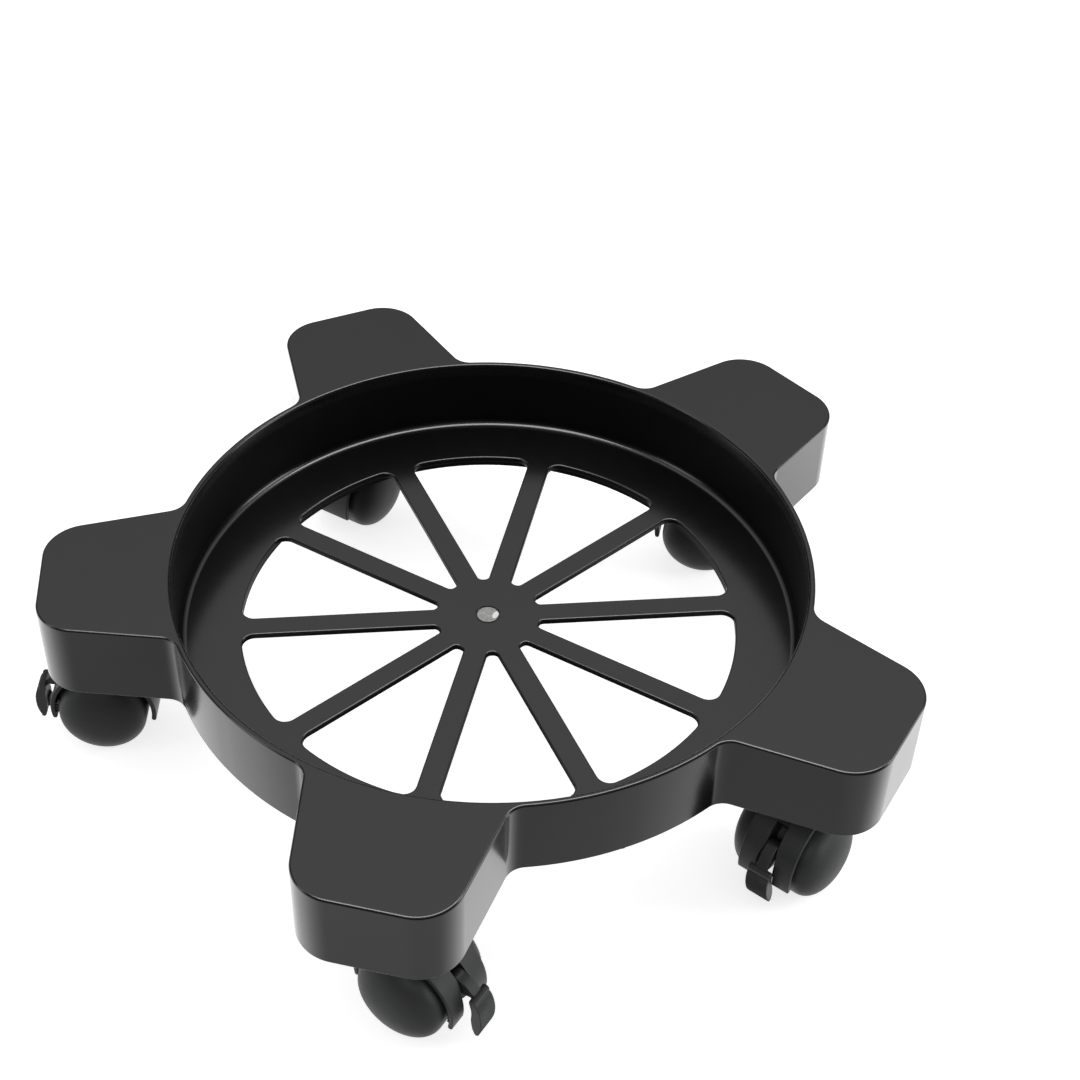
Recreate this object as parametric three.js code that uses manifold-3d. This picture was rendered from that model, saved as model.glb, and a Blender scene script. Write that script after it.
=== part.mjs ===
// Rolling caddy for a plant pot or a pail: a five-armed moulded platform with a round recess and a
// ten-spoke open floor, carried by five twin-wheel swivel casters, three of them with a brake lever.
// Millimetres, +Z up, front towards -Y. The origin is the middle of the recess floor, where the pot
// stands. Heights below are counted from the ground; the assembly is set down by FLOOR_Z at the end.
import * as THREE from 'three';
import { mergeVertices } from 'three/addons/utils/BufferGeometryUtils.js';
import Module from 'manifold-3d';

const wasm = await Module();
wasm.setup();

// ---- casters: place and heading ----
// socket: angle of the arm; heading: the way the wheels trail; both in degrees from +X
const CASTERS = [
  { name: 'left', socket: 180, heading: 174, brake: 'up' },
  { name: 'front', socket: 252, heading: -38, brake: 'up' },
  { name: 'right', socket: 324, heading: -132.9, brake: 'pressed' },
  { name: 'back_right', socket: 36, heading: 162.3, brake: null },
  { name: 'back_left', socket: 108, heading: 233.3, brake: null },
];
const LEVER_TILT = { up: 0, pressed: 16 };  // degrees
const SOCKET_AT = 157.5;     // radius of the five sockets

// ---- platform ----
const TOP_Z = 92;            // top face of the arms and the rim
const SKIRT_H = 36.6;        // height of the outer wall
const SKIRT_Z = TOP_Z - SKIRT_H;
const RECESS_D = 34.8;       // rim down to the floor
const FLOOR_Z = TOP_Z - RECESS_D;
const FLOOR_T = 2.2;         // floor ring outside the windows
const TIP_R = 190;           // centre to the end face of an arm
const TIP_HALF_W = 30.2;     // half width of an arm at its end face
const TIP_CORNER_R = 18.6;
const ARM_FLARE = 10;        // each side opens towards the middle by this angle, degrees
const RING_R = 137.8;        // outer face of the round wall
const ROOT_FILLET_R = 9;     // where an arm side runs into the round wall
const RIM_R = 135;           // recess at the rim
const FOOT_R = 134;          // recess at the foot of its wall
const FOOT_FILLET_R = 3;
const EDGE = 1.2;            // bevel of the upper edges, outer and recess
const BOTTOM_WASTE = 4;      // extra skirt, cut off with the lower bevel
const SKIN_T = 3;            // top skin of an arm
const WALL_T = 2.8;          // skirt wall
const WINDOWS = 10;
const WINDOW_PITCH = 360 / WINDOWS;
const WINDOW_R = 107.7;      // outer end of the windows
const WINDOW_CORNER_OUT = 5.4;
const WINDOW_CORNER_IN = 2.4;
const HUB_R = 22.8;          // inner end of the windows
const SPOKE_W = 10.2;
const SPOKE_T = 3;           // hub and spokes
const FLANGE_R = 110;        // ring under the floor around the windows
const FLANGE_IN_R = 108;
const FLANGE_H = 5.1;        // floor top to the lower edge of the ring and the ribs
const RIB_Z = FLOOR_Z - FLANGE_H;
const RIB_T = 1.8;           // radial ribs under the floor
const RIBS = 2 * WINDOWS;
const RIB_BEND_R = 127;      // from here out the lower edge of a rib rises to the skirt
const BOSS_R = 9;            // boss around a socket
const BOSS_WEB_T = 2;
const BOSS_WEB_RAISE = 8;    // lower edge of the boss webs above the skirt edge
const SOCKET_R = 4.6;
const SOCKET_ROOF_T = 6;
const GATE_R = 4.7;          // flush moulding gate in the middle of the hub, in a groove
const GATE_GROOVE_W = 0.7;
const GATE_GROOVE_D = 0.5;

// ---- wheels ----
const TRAIL = 12.5;          // stem axis to the wheel axle
const WHEEL_R = 19.4;
const AXLE_Z = WHEEL_R;
const AXLE_R = 2;
const AXLE_BORE_R = AXLE_R + 0.35;
const AXLE_LENGTH = 36;
const WHEEL_IN = 4.9;        // middle plane to the inner edge of a tread
const RIM_HALF = 12.1;       // middle plane to the outer edge of a tread
const DOME_H = 10.4;         // bulge of a wheel face beyond that
const DOME_P = 2.15;         // fullness of the bulge
const WHEEL_HUB_R = 5.2;
const TREAD_T = 3;

// ---- hood: heights and angles about the axle ----
const HOOD_R = 23.5;
const HOOD_T = 2.1;
const HOOD_IN_R = HOOD_R - HOOD_T;
const HOOD_HALF = 12;
const HOOD_EDGE = 0.6;       // bevel of the long edges and of the neck
const HOOD_END = -10.5;      // both lips end this far below the axle height, degrees
const WEB_HALF = 4.3;
const NECK_R = 6.4;
const NECK_FOOT = 12;
const NECK_TOP = 26.2;
const NECK_BORE_R = 2.9;
const SLOT_HALF = 2.9;
const SLOT_TOP = 60;         // degrees up the hood
const SLOT_END = -40;        // degrees, below the lip
const SLOT_R = 12.5;         // the slot is cut in to this radius

// ---- brake lever and its pin ----
const LEVER_HALF = 2.4;
const PAD_HALF = 5;
const PIVOT = [16.4, 9.4];   // pin, outwards (+X) of and above the axle
const PIN_R = 1.1;
const PIN_BORE_R = PIN_R + 0.3;

// ---- stem ----
const STEM_R = 4;
const STEM_ROOT_R = 2.5;
const COLLAR_R = 5.6;
const GROOVE_R = 3.1;        // groove for the grip ring
const GROOVE_Z = [77, 79.6];
const GRIP_R = [3.45, 4.3];  // inner and outer radius of the grip ring
const GRIP_Z = [77.4, 79.2];

// ---- solid making ----
const LAP = 1;               // joined pieces run this far into each other
const CUT = 10;              // cuts run this far past the material
const CUT_HALF = 40;         // half width of a cut right across a caster

const rad = THREE.MathUtils.degToRad;
const angleOf = ([x, y]) => (Math.atan2(y, x) * 180) / Math.PI;
const vectors = (points) => points.map(([x, y]) => new THREE.Vector2(x, y));
const shape = (points) => new THREE.Shape(vectors(points));
const union = (solids) => solids.reduce((sum, part) => sum.add(part));

// Welds a closed geometry into a solid, leaving out triangles that collapse.
function solid(geometry) {
  const bare = new THREE.BufferGeometry();
  bare.setAttribute('position', geometry.attributes.position);
  bare.setIndex(geometry.index);
  const welded = mergeVertices(bare, 1e-4);
  const index = welded.index.array;
  const triangles = [];
  for (let i = 0; i < index.length; i += 3) {
    const [a, b, c] = [index[i], index[i + 1], index[i + 2]];
    if (a !== b && b !== c && a !== c) triangles.push(a, b, c);
  }
  return new wasm.Manifold(new wasm.Mesh({
    numProp: 3,
    vertProperties: new Float32Array(welded.attributes.position.array),
    triVerts: new Uint32Array(triangles),
  }));
}

function geometryOf(body) {
  const mesh = body.getMesh();
  const g = new THREE.BufferGeometry();
  g.setAttribute('position', new THREE.BufferAttribute(new Float32Array(mesh.vertProperties), 3));
  g.setIndex(new THREE.BufferAttribute(new Uint32Array(mesh.triVerts), 1));
  g.computeVertexNormals();
  return g;
}

function extrude(points, z0, z1) {
  const options = { depth: z1 - z0, bevelEnabled: false, steps: 1 };
  return new THREE.ExtrudeGeometry(shape(points), options).translate(0, 0, z0);
}

// Profile points are [radius, position along the axis]; revolve turns about Y, lathe about Z.
const revolve = (profile, segments) => new THREE.LatheGeometry(vectors(profile), segments);
const lathe = (profile, segments) => solid(revolve(profile, segments).rotateX(Math.PI / 2));
const drum = (r, z0, z1, segments) => lathe([[0, z0], [r, z0], [r, z1], [0, z1]], segments);

// ---- outlines, angles in degrees ----
const arc = (x, y, radius, from, to, steps) =>
  Array.from({ length: steps + 1 }, (_, i) => {
    const angle = rad(from + ((to - from) * i) / steps);
    return [x + radius * Math.cos(angle), y + radius * Math.sin(angle)];
  });
const sector = (inner, outer, from, to, steps) =>
  [...arc(0, 0, outer, from, to, steps), ...arc(0, 0, inner, to, from, steps)];
const mirrored = (points) => points.slice().reverse().map(([x, y]) => [x, -y]);

function turned(points, angle) {
  const cos = Math.cos(rad(angle));
  const sin = Math.sin(rad(angle));
  return points.map(([x, y]) => [x * cos - y * sin, x * sin + y * cos]);
}

// ---- platform ----
// Outline of one arm along +X, from the middle of one gap to the middle of the next, grown by `grow`.
function armSector(grow) {
  const sin = Math.sin(rad(ARM_FLARE));
  const cos = Math.cos(rad(ARM_FLARE));
  const side = TIP_R * sin + TIP_HALF_W * cos;         // distance of the side line from the centre
  const across = side + ROOT_FILLET_R;
  const along = Math.sqrt((RING_R + ROOT_FILLET_R) ** 2 - across * across);
  const root = [across * sin + along * cos, across * cos - along * sin];
  const rootAngle = angleOf(root);
  const cornerX = TIP_R - TIP_CORNER_R;
  const cornerY = (side - TIP_CORNER_R - cornerX * sin) / cos;
  const half = [
    ...arc(cornerX, cornerY, TIP_CORNER_R + grow, 0, 90 - ARM_FLARE, 5),
    ...arc(...root, ROOT_FILLET_R - grow, 270 - ARM_FLARE, 180 + rootAngle, 4).slice(0, -1),
    ...arc(0, 0, RING_R + grow, rootAngle, 180 / CASTERS.length, 3).slice(0, -1),
  ];
  return [...mirrored(half), ...half];
}
const platformOutline = (grow) =>
  CASTERS.flatMap(({ socket }) => turned(armSector(grow), socket));

// One window between two spokes, centred on +X.
function windowOutline() {
  const spoke = WINDOW_PITCH / 2;
  // centre of a corner round of this radius beside the spoke, at a distance from the middle
  const cornerCentre = (distance, radius) => {
    const across = SPOKE_W / 2 + radius;
    const along = Math.sqrt(distance ** 2 - across ** 2);
    const cos = Math.cos(rad(spoke));
    const sin = Math.sin(rad(spoke));
    return [cos * along + sin * across, sin * along - cos * across];
  };
  const outer = cornerCentre(WINDOW_R - WINDOW_CORNER_OUT, WINDOW_CORNER_OUT);
  const inner = cornerCentre(HUB_R + WINDOW_CORNER_IN, WINDOW_CORNER_IN);
  const outerAngle = angleOf(outer);
  const half = [
    ...arc(0, 0, WINDOW_R, 0, outerAngle, 2).slice(0, -1),
    ...arc(...outer, WINDOW_CORNER_OUT, outerAngle, 90 + spoke, 3),
    ...arc(...inner, WINDOW_CORNER_IN, 90 + spoke, 180 + angleOf(inner), 2),
  ];
  return [...half, ...mirrored(half.slice(1))];
}

// Full star with a bevelled upper edge and a flat underside.
function platformBlock() {
  const block = new THREE.ExtrudeGeometry(shape(platformOutline(0)), {
    depth: SKIRT_H + BOTTOM_WASTE - EDGE,
    steps: 1,
    bevelEnabled: true,
    bevelThickness: EDGE,
    bevelSize: EDGE,
    bevelOffset: -EDGE,
    bevelSegments: 1,
  });
  return solid(block.translate(0, 0, SKIRT_Z - BOTTOM_WASTE))
    .subtract(drum(300, SKIRT_Z - 2 * CUT, SKIRT_Z, 8));
}

// Room inside the arms, open below, outside the round wall.
const armHollow = () => solid(extrude(platformOutline(-WALL_T), SKIRT_Z - CUT, TOP_Z - SKIN_T))
  .subtract(drum(RING_R, SKIRT_Z - 2 * CUT, TOP_Z, 72));

// Round between the recess floor and its wall, from the floor up.
const footFillet = () =>
  arc(FOOT_R - FOOT_FILLET_R, FLOOR_Z + FOOT_FILLET_R, FOOT_FILLET_R, -90, 0, 2);

const recess = () => lathe([
  [0, FLOOR_Z],
  ...footFillet(),
  [RIM_R, TOP_Z - EDGE],
  [RIM_R + EDGE, TOP_Z],
  [RIM_R + EDGE, TOP_Z + CUT],
  [0, TOP_Z + CUT],
], 72);

const floorPlate = () => lathe([
  [0, FLOOR_Z - SPOKE_T],
  [FLANGE_R - LAP, FLOOR_Z - SPOKE_T],
  [FLANGE_R - LAP, FLOOR_Z - FLOOR_T],
  [FOOT_R + 1.2, FLOOR_Z - FLOOR_T],
  [FOOT_R + 1.2, FLOOR_Z + 0.3],
  ...footFillet().reverse(),
  [0, FLOOR_Z],
], 72);

// Upright ring of rectangular section.
const band = (inner, outer, z0, z1, segments) =>
  lathe([[inner, z0], [outer, z0], [outer, z1], [inner, z1], [inner, z0]], segments);

function floorRibs() {
  const side = [
    [FLANGE_R - LAP, RIB_Z],
    [RIB_BEND_R, RIB_Z],
    [RING_R - 0.6, SKIRT_Z - 0.8],
    [RING_R - 0.6, FLOOR_Z - LAP],
    [FLANGE_R - LAP, FLOOR_Z - LAP],
  ];
  return union(Array.from({ length: RIBS }, (_, k) => {
    const rib = extrude(side, -RIB_T / 2, RIB_T / 2).rotateX(Math.PI / 2);
    return solid(rib.rotateZ(rad((360 / RIBS) * k)));
  }));
}

// Boss for a stem on the +X arm, with a radial and a cross web.
function socketBoss() {
  const halfSpan = TIP_HALF_W + (TIP_R - SOCKET_AT) * Math.tan(rad(ARM_FLARE)) - LAP;
  const web = (x0, x1, halfY) => solid(extrude(
    [[x0, -halfY], [x1, -halfY], [x1, halfY], [x0, halfY]],
    SKIRT_Z + BOSS_WEB_RAISE,
    TOP_Z - LAP,
  ));
  const halfT = BOSS_WEB_T / 2;
  return union([
    drum(BOSS_R, SKIRT_Z, TOP_Z - LAP, 18).translate([SOCKET_AT, 0, 0]),
    web(RING_R - LAP, TIP_R - LAP, halfT),
    web(SOCKET_AT - halfT, SOCKET_AT + halfT, halfSpan),
  ]);
}

const socketBore = () =>
  drum(SOCKET_R, SKIRT_Z - CUT, TOP_Z - SOCKET_ROOF_T, 16).translate([SOCKET_AT, 0, 0]);

function platform() {
  let body = platformBlock()
    .subtract(armHollow())
    .subtract(drum(FOOT_R + 0.4, SKIRT_Z - CUT, FLOOR_Z - FLOOR_T + LAP, 72))
    .subtract(recess())
    .add(floorPlate())
    .add(band(FLANGE_IN_R, FLANGE_R, RIB_Z, FLOOR_Z - LAP, 72))
    .add(floorRibs());
  for (let k = 0; k < WINDOWS; k++) {
    const outline = turned(windowOutline(), WINDOW_PITCH * (k + 0.5));
    body = body.subtract(solid(extrude(outline, RIB_Z - CUT, FLOOR_Z + CUT)));
  }
  for (const { socket } of CASTERS) body = body.add(socketBoss().rotate([0, 0, socket]));
  for (const { socket } of CASTERS) body = body.subtract(socketBore().rotate([0, 0, socket]));
  return body.subtract(
    band(GATE_R, GATE_R + GATE_GROOVE_W, FLOOR_Z - GATE_GROOVE_D, FLOOR_Z + CUT, 12),
  );
}

// ---- caster pieces: +X is the way the wheels trail, Y the axle; origin under the stem on the
// ground. Outlines in the XZ plane are [x, z] about the axle. ----
const atAxle = (geometry) => solid(geometry.translate(TRAIL, 0, AXLE_Z));
const bar = (points, half) => atAxle(extrude(points, -half, half).rotateX(Math.PI / 2));
const crossBore = (x, z, radius) => bar(arc(x, z, radius, 0, 360, 12).slice(0, -1), CUT_HALF);
// Disc in steps of 10 degrees, with the corner at 350 left out.
const crossDisc = (radius) => bar(arc(0, 0, radius, 0, 340, 34), CUT_HALF);
const crossRod = (x, z, radius, length) =>
  atAxle(new THREE.CylinderGeometry(radius, radius, length, 12).translate(x, 0, z));

const axle = () => crossRod(0, 0, AXLE_R, AXLE_LENGTH);
const leverPin = () => crossRod(...PIVOT, PIN_R, 2 * WEB_HALF - 0.2);

// Wheel with a superelliptic dome outside and a hollow around its hub; side is +1 or -1 along Y.
function wheel(side) {
  const domeSteps = 5;
  const dome = Array.from({ length: domeSteps }, (_, i) => {
    const angle = (Math.PI / 2) * (i / domeSteps);
    return [
      WHEEL_R * Math.cos(angle) ** (2 / DOME_P),
      RIM_HALF + DOME_H * Math.sin(angle) ** (2 / DOME_P),
    ];
  });
  // [radius, distance from the middle plane]
  const profile = [
    [0, 18.6], [AXLE_BORE_R, 18.6], [AXLE_BORE_R, WHEEL_IN],             // blind bore
    [WHEEL_HUB_R, WHEEL_IN], [WHEEL_HUB_R, 18],                         // hub
    [11, 17], [WHEEL_R - TREAD_T, 12], [WHEEL_R - TREAD_T, WHEEL_IN],   // hollow
    [WHEEL_R, WHEEL_IN],
    ...dome,
    [0, RIM_HALF + DOME_H],
  ];
  const body = revolve(profile, 20);
  if (side < 0) body.rotateX(Math.PI);
  return atAxle(body);
}

// Arched band over both treads with bevelled long edges.
function hoodShell() {
  const edge = HOOD_HALF - HOOD_EDGE;
  const ring = atAxle(revolve([
    [HOOD_IN_R, -HOOD_HALF],
    [HOOD_R - HOOD_EDGE, -HOOD_HALF],
    [HOOD_R, -edge],
    [HOOD_R, edge],
    [HOOD_R - HOOD_EDGE, HOOD_HALF],
    [HOOD_IN_R, HOOD_HALF],
    [HOOD_IN_R, -HOOD_HALF],
  ], 36));
  const kept = bar([[0, 0], ...arc(0, 0, 60, HOOD_END, 180 - HOOD_END, 8)], CUT_HALF);
  return ring.intersect(kept);
}

// Web between the wheels, rounded off around the axle.
const hoodWeb = () => bar([
  ...arc(0, 0, HOOD_IN_R + 0.8, HOOD_END + 4, 180 - HOOD_END - 4, 12),
  [-5.4, -2.5],
  ...arc(0, 0, 5.6, 200, 340, 4),
], WEB_HALF);

// Neck for the stem, cut clear of the wheels on both sides of the web.
function hoodNeck() {
  const top = AXLE_Z + NECK_TOP;
  const neck = lathe([
    [0, AXLE_Z + NECK_FOOT],
    [NECK_R, AXLE_Z + NECK_FOOT],
    [NECK_R, top - HOOD_EDGE],
    [NECK_R - HOOD_EDGE, top],
    [0, top],
  ], 18);
  const webRoom = bar([[-30, -30], [30, -30], [30, 40], [-30, 40]], WEB_HALF);
  return neck.subtract(crossDisc(WHEEL_R + 0.8).subtract(webRoom));
}

// Slot for the lever through web and shell.
const leverSlot = () => bar([
  ...arc(0, 0, SLOT_R, SLOT_TOP, SLOT_END, 4),
  ...arc(0, 0, 36, SLOT_END, SLOT_TOP, 3),
], SLOT_HALF);

// Widening of the slot towards the lip, in the shell only.
function slotFlare() {
  // +Y edge as [y, z] about the axle, bottom to top
  const edge = [[WEB_HALF, -16], [WEB_HALF, 5], [SLOT_HALF, 13.5], [SLOT_HALF, 24]];
  const opposite = edge.map(([y, z]) => [-y, z]).reverse();
  // outline x, y and depth go to Y, Z and X
  const turn = new THREE.Matrix4().makeBasis(
    new THREE.Vector3(0, 1, 0),
    new THREE.Vector3(0, 0, 1),
    new THREE.Vector3(1, 0, 0),
  );
  const wedge = extrude([...opposite, ...edge], 8, 30).applyMatrix4(turn);
  return atAxle(wedge).subtract(crossDisc(HOOD_IN_R - 0.3));
}

// Pocket in the web under an unslotted shell.
const webPocket = () =>
  bar(sector(SLOT_R, HOOD_IN_R - 0.4, SLOT_TOP - 8, SLOT_END, 8), WEB_HALF + 1);

function hood(brake) {
  const body = union([hoodShell(), hoodWeb(), hoodNeck()])
    .subtract(drum(NECK_BORE_R, AXLE_Z + 5, AXLE_Z + NECK_TOP + CUT, 12))
    .subtract(crossBore(0, 0, AXLE_BORE_R));
  if (!brake) return body.subtract(webPocket());
  return body
    .subtract(leverSlot())
    .subtract(slotFlare())
    .subtract(crossBore(...PIVOT, PIN_BORE_R));
}

// Lever outlines, [x, z] about the axle.
const LEVER_ARM = [
  [29.8, 2], [28.4, 7.6], [26.6, 8.4], [24.4, 10.6], [21.8, 12.4], [19.4, 13.3],
  [18.2, 14.2], [15.8, 13.6], [14, 12], [13, 9.6], [14.2, 7.4], [17.6, 6.4],
  [22.8, 6.2], [25.2, 6.4], [26.6, 3.6], [27.3, 0],
];
const PAD_TOP = [[26.2, 8.2], [28.2, 8.4], [29.3, 7.2]];
const PAD_BACK = [
  [30.2, 5.6], [31.3, 2.4], [31.9, -1.2], [31.9, -5], [31.4, -8.2], [30.7, -10.4],
];
const PAD_INSIDE = [
  [29.8, -11.9], [28.7, -11.5], [27.6, -9], [27, -6], [26.9, -3], [27.1, 0], [26.9, 3],
  [26.1, 6.2],
];
const LEVER_STOP = [
  [28.4, -8.2], [26.7, -7.8], [25.8, -6.2], [25.6, -4.2], [26.1, -2.4], [27.3, -1.6],
  [28.6, -1.4],
];
const TOOTH_D = 0.38;

// Two teeth on each stretch of the pad back.
function padTeeth() {
  const teeth = [];
  for (let i = 0; i < PAD_BACK.length - 1; i++) {
    const [x0, z0] = PAD_BACK[i];
    const [x1, z1] = PAD_BACK[i + 1];
    for (let k = 0; k < 4; k++) {
      const part = k / 4;
      const notch = k % 2 ? TOOTH_D : 0;
      teeth.push([x0 + (x1 - x0) * part - notch, z0 + (z1 - z0) * part]);
    }
  }
  return [...teeth, PAD_BACK.at(-1)];
}

// Brake lever: an arm out of the slot, a crescent pad with a toothed back, and a stop inside the pad.
function lever(tilt) {
  const body = union([
    bar(LEVER_ARM, LEVER_HALF),
    bar([...PAD_TOP, ...padTeeth(), ...PAD_INSIDE], PAD_HALF),
    bar(LEVER_STOP, LEVER_HALF),
  ]).subtract(crossBore(...PIVOT, PIN_BORE_R));
  const x = TRAIL + PIVOT[0];
  const z = AXLE_Z + PIVOT[1];
  return body.translate([-x, 0, -z]).rotate([0, tilt, 0]).translate([x, 0, z]);
}

function stem() {
  const neckTop = AXLE_Z + NECK_TOP;
  const [grooveLow, grooveHigh] = GROOVE_Z;
  return lathe([
    [0, AXLE_Z + 6], [STEM_ROOT_R, AXLE_Z + 6], [STEM_ROOT_R, neckTop + 0.3],
    [COLLAR_R, neckTop + 0.3], [COLLAR_R, neckTop + 1.7], [STEM_R, neckTop + 1.7],
    [STEM_R, grooveLow], [GROOVE_R, grooveLow], [GROOVE_R, grooveHigh], [STEM_R, grooveHigh],
    [STEM_R, 82.6], [3, 83.6], [0, 83.6],
  ], 14);
}

// Split spring ring in the groove of the stem.
const gripRing = () => solid(extrude(sector(...GRIP_R, 20, 340, 10), ...GRIP_Z));

// ---- materials ----
const plastic = ({ color, roughness }) =>
  new THREE.MeshStandardMaterial({ color, roughness, metalness: 0 });
const platformPlastic = () => plastic({ color: 0x2b2b2c, roughness: 0.42 });
const hoodPlastic = () => plastic({ color: 0x2e3130, roughness: 0.6 });
const wheelPlastic = () => plastic({ color: 0x272a29, roughness: 0.55 });
const steel = () =>
  new THREE.MeshStandardMaterial({ color: 0xb9bcc0, roughness: 0.32, metalness: 1 });

// ---- assembly ----
function add(parent, name, body, material) {
  const mesh = new THREE.Mesh(geometryOf(body), material);
  mesh.name = name;
  parent.add(mesh);
}

function caster({ name, socket, heading, brake }) {
  const parts = new THREE.Group();
  parts.position.set(SOCKET_AT * Math.cos(rad(socket)), SOCKET_AT * Math.sin(rad(socket)), 0);
  parts.rotation.z = rad(heading);
  add(parts, `${name}_stem`, stem(), steel());
  add(parts, `${name}_grip_ring`, gripRing(), steel());
  add(parts, `${name}_hood`, hood(brake), hoodPlastic());
  add(parts, `${name}_axle`, axle(), steel());
  add(parts, `${name}_wheel_a`, wheel(1), wheelPlastic());
  add(parts, `${name}_wheel_b`, wheel(-1), wheelPlastic());
  if (brake) {
    add(parts, `${name}_brake_lever`, lever(LEVER_TILT[brake]), hoodPlastic());
    add(parts, `${name}_lever_pin`, leverPin(), steel());
  }
  return parts;
}

const group = new THREE.Group();
const caddy = new THREE.Group();
caddy.position.z = -FLOOR_Z;
group.add(caddy);
add(caddy, 'platform', platform(), platformPlastic());
for (const spec of CASTERS) caddy.add(caster(spec));

export default group;
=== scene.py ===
"""Round platform with a sunken, spoked floor and five arms, each on a twin-wheel caster.

The frame is in metres, +Z up and -Y to the front. Its origin is the middle of the recess
floor. Meshes are built in mm with heights from the ground, and dress() moves them over.
Three casters have brake levers; the right one is pressed.
"""
import math

import bmesh
import bpy
from mathutils import Matrix, Vector


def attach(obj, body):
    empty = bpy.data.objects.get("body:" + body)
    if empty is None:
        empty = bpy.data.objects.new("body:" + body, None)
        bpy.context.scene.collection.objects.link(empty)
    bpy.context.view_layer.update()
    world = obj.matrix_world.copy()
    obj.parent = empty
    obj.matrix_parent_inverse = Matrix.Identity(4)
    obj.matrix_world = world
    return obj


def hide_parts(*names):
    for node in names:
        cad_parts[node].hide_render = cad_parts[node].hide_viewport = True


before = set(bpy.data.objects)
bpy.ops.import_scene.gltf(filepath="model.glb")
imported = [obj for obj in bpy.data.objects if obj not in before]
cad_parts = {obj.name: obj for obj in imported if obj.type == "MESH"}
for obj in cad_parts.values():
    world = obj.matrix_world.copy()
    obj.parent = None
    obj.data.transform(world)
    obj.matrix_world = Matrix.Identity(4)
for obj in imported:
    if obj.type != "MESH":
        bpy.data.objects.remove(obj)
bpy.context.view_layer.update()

MM = 0.001
rad = math.radians

# ---------------------------------------------------------------- platform sizes, mm
TOP_Z = 92.0
SKIRT_Z = TOP_Z - 36.6  # lower edge of the outer skirt
SEAT_Z = TOP_Z - 34.8  # upper face of the recess floor
FLOOR_T = 2.2
SKIN_T = 3.0  # top of the arms
WALL_T = 2.8
EDGE_R = 1.2  # upper edges
EASE = 0.4  # lower edges

TIP_R = 190.0  # arm tips, from the centre
TIP_HALF_W = 30.2
TIP_CORNER_R = 18.6
ARM_FLARE = 10.0  # degrees
RING_R = 137.8
ROOT_FILLET_R = 9.0

RIM_R = 135.0
FOOT_R = 134.0
FOOT_FILLET_R = 3.0

WINDOW_R = 107.7
HUB_R = 22.8
SPOKE_W = 10.2
SPOKE_T = 3.0
WINDOW_CORNER_OUT = 5.4
WINDOW_CORNER_IN = 2.4
WINDOW_EDGE_R = 0.75

FLANGE_R = 110.0
FLANGE_IN_R = 108.0
RIB_Z = SEAT_Z - 5.1  # lower edge of the flange and ribs
RIB_T = 1.8

GATE_R = 4.7
GATE_GROOVE = 0.7
GATE_H = 0.5

BOSS_R = 9.0
SOCKET_R = 4.6

# ---------------------------------------------------------------- caster sizes, mm
STEM_AT = 157.5  # stem axis, from the platform's centre
STEM_R = 4.0
STEM_GROOVE_R = 3.1
COLLAR_R = 5.6

TRAIL = 12.5  # axle behind the stem
WHEEL_R = 19.4
AXLE_Z = WHEEL_R
AXLE_R = 2.0
AXLE_BORE = AXLE_R + 0.35
AXLE_AT = (TRAIL, 0, AXLE_Z)
RIM_HALF = 12.1  # where the dome starts, from the mid plane
DOME_H = 10.4
DOME_POWER = 2.15
WHEEL_IN = 4.9  # inner face of a wheel

HOOD_R = 23.5
HOOD_T = 2.1
HOOD_HALF = 12.0
HOOD_END = -10.5  # degrees
WEB_HALF = 4.3
NECK_R = 6.4
NECK_TOP = 26.2  # above the axle

SLOT_HALF = 2.9
SLOT_TOP = 60.0  # degrees
SLOT_LOW = -40
SLOT_R = 12.5
LEVER_HALF = 2.4
PAD_HALF = 5.0
PIVOT = (16.4, 9.4)  # along +X and up from the axle
PIVOT_AT = (TRAIL + PIVOT[0], 0, AXLE_Z + PIVOT[1])
PIN_R = 1.1
PIN_BORE = PIN_R + 0.3
PRESSED = 16.0  # degrees

# name, angle of its arm, direction in which the wheels trail, has a brake
CASTERS = (
    ("left", 180, 174.0, True),
    ("front", 252, -38.0, True),
    ("right", 324, -132.9, True),
    ("back_right", 36, 162.3, False),
    ("back_left", 108, 233.3, False),
)
ARM_ANGLES = [row[1] for row in CASTERS]


# ---------------------------------------------------------------- objects and booleans
def add_object(name, data):
    ob = bpy.data.objects.new(name, data)
    bpy.context.scene.collection.objects.link(ob)
    return ob


def solid(verts, faces):
    me = bpy.data.meshes.new("part")
    me.from_pydata(verts, [], faces)
    bm = bmesh.new()
    bm.from_mesh(me)
    bmesh.ops.recalc_face_normals(bm, faces=bm.faces)
    bm.to_mesh(me)
    bm.free()
    return add_object("part", me)


def drop(ob):
    me = ob.data
    bpy.data.objects.remove(ob)
    bpy.data.meshes.remove(me)


def join(parts):
    bm = bmesh.new()
    for part in parts:
        bm.from_mesh(part.data)
        drop(part)
    me = bpy.data.meshes.new("joined")
    bm.to_mesh(me)
    bm.free()
    return add_object("joined", me)


def boolean(body, tool, operation):
    mod = body.modifiers.new("cut", "BOOLEAN")
    mod.operation = operation
    mod.solver = "MANIFOLD"
    mod.object = tool
    bpy.context.view_layer.update()
    graph = bpy.context.evaluated_depsgraph_get()
    me = bpy.data.meshes.new_from_object(body.evaluated_get(graph))
    body.modifiers.clear()
    old = body.data
    body.data = me
    bpy.data.meshes.remove(old)
    drop(tool)
    return body


def cut(body, tool):
    return boolean(body, tool, "DIFFERENCE")


def fuse(body, tool):
    return boolean(body, tool, "UNION")


def rotate(ob, degrees, axis="Z", at=(0, 0, 0)):
    at = Vector(at)
    turn = Matrix.Rotation(rad(degrees), 4, axis)
    ob.data.transform(Matrix.Translation(at) @ turn @ Matrix.Translation(-at))
    return ob


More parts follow.
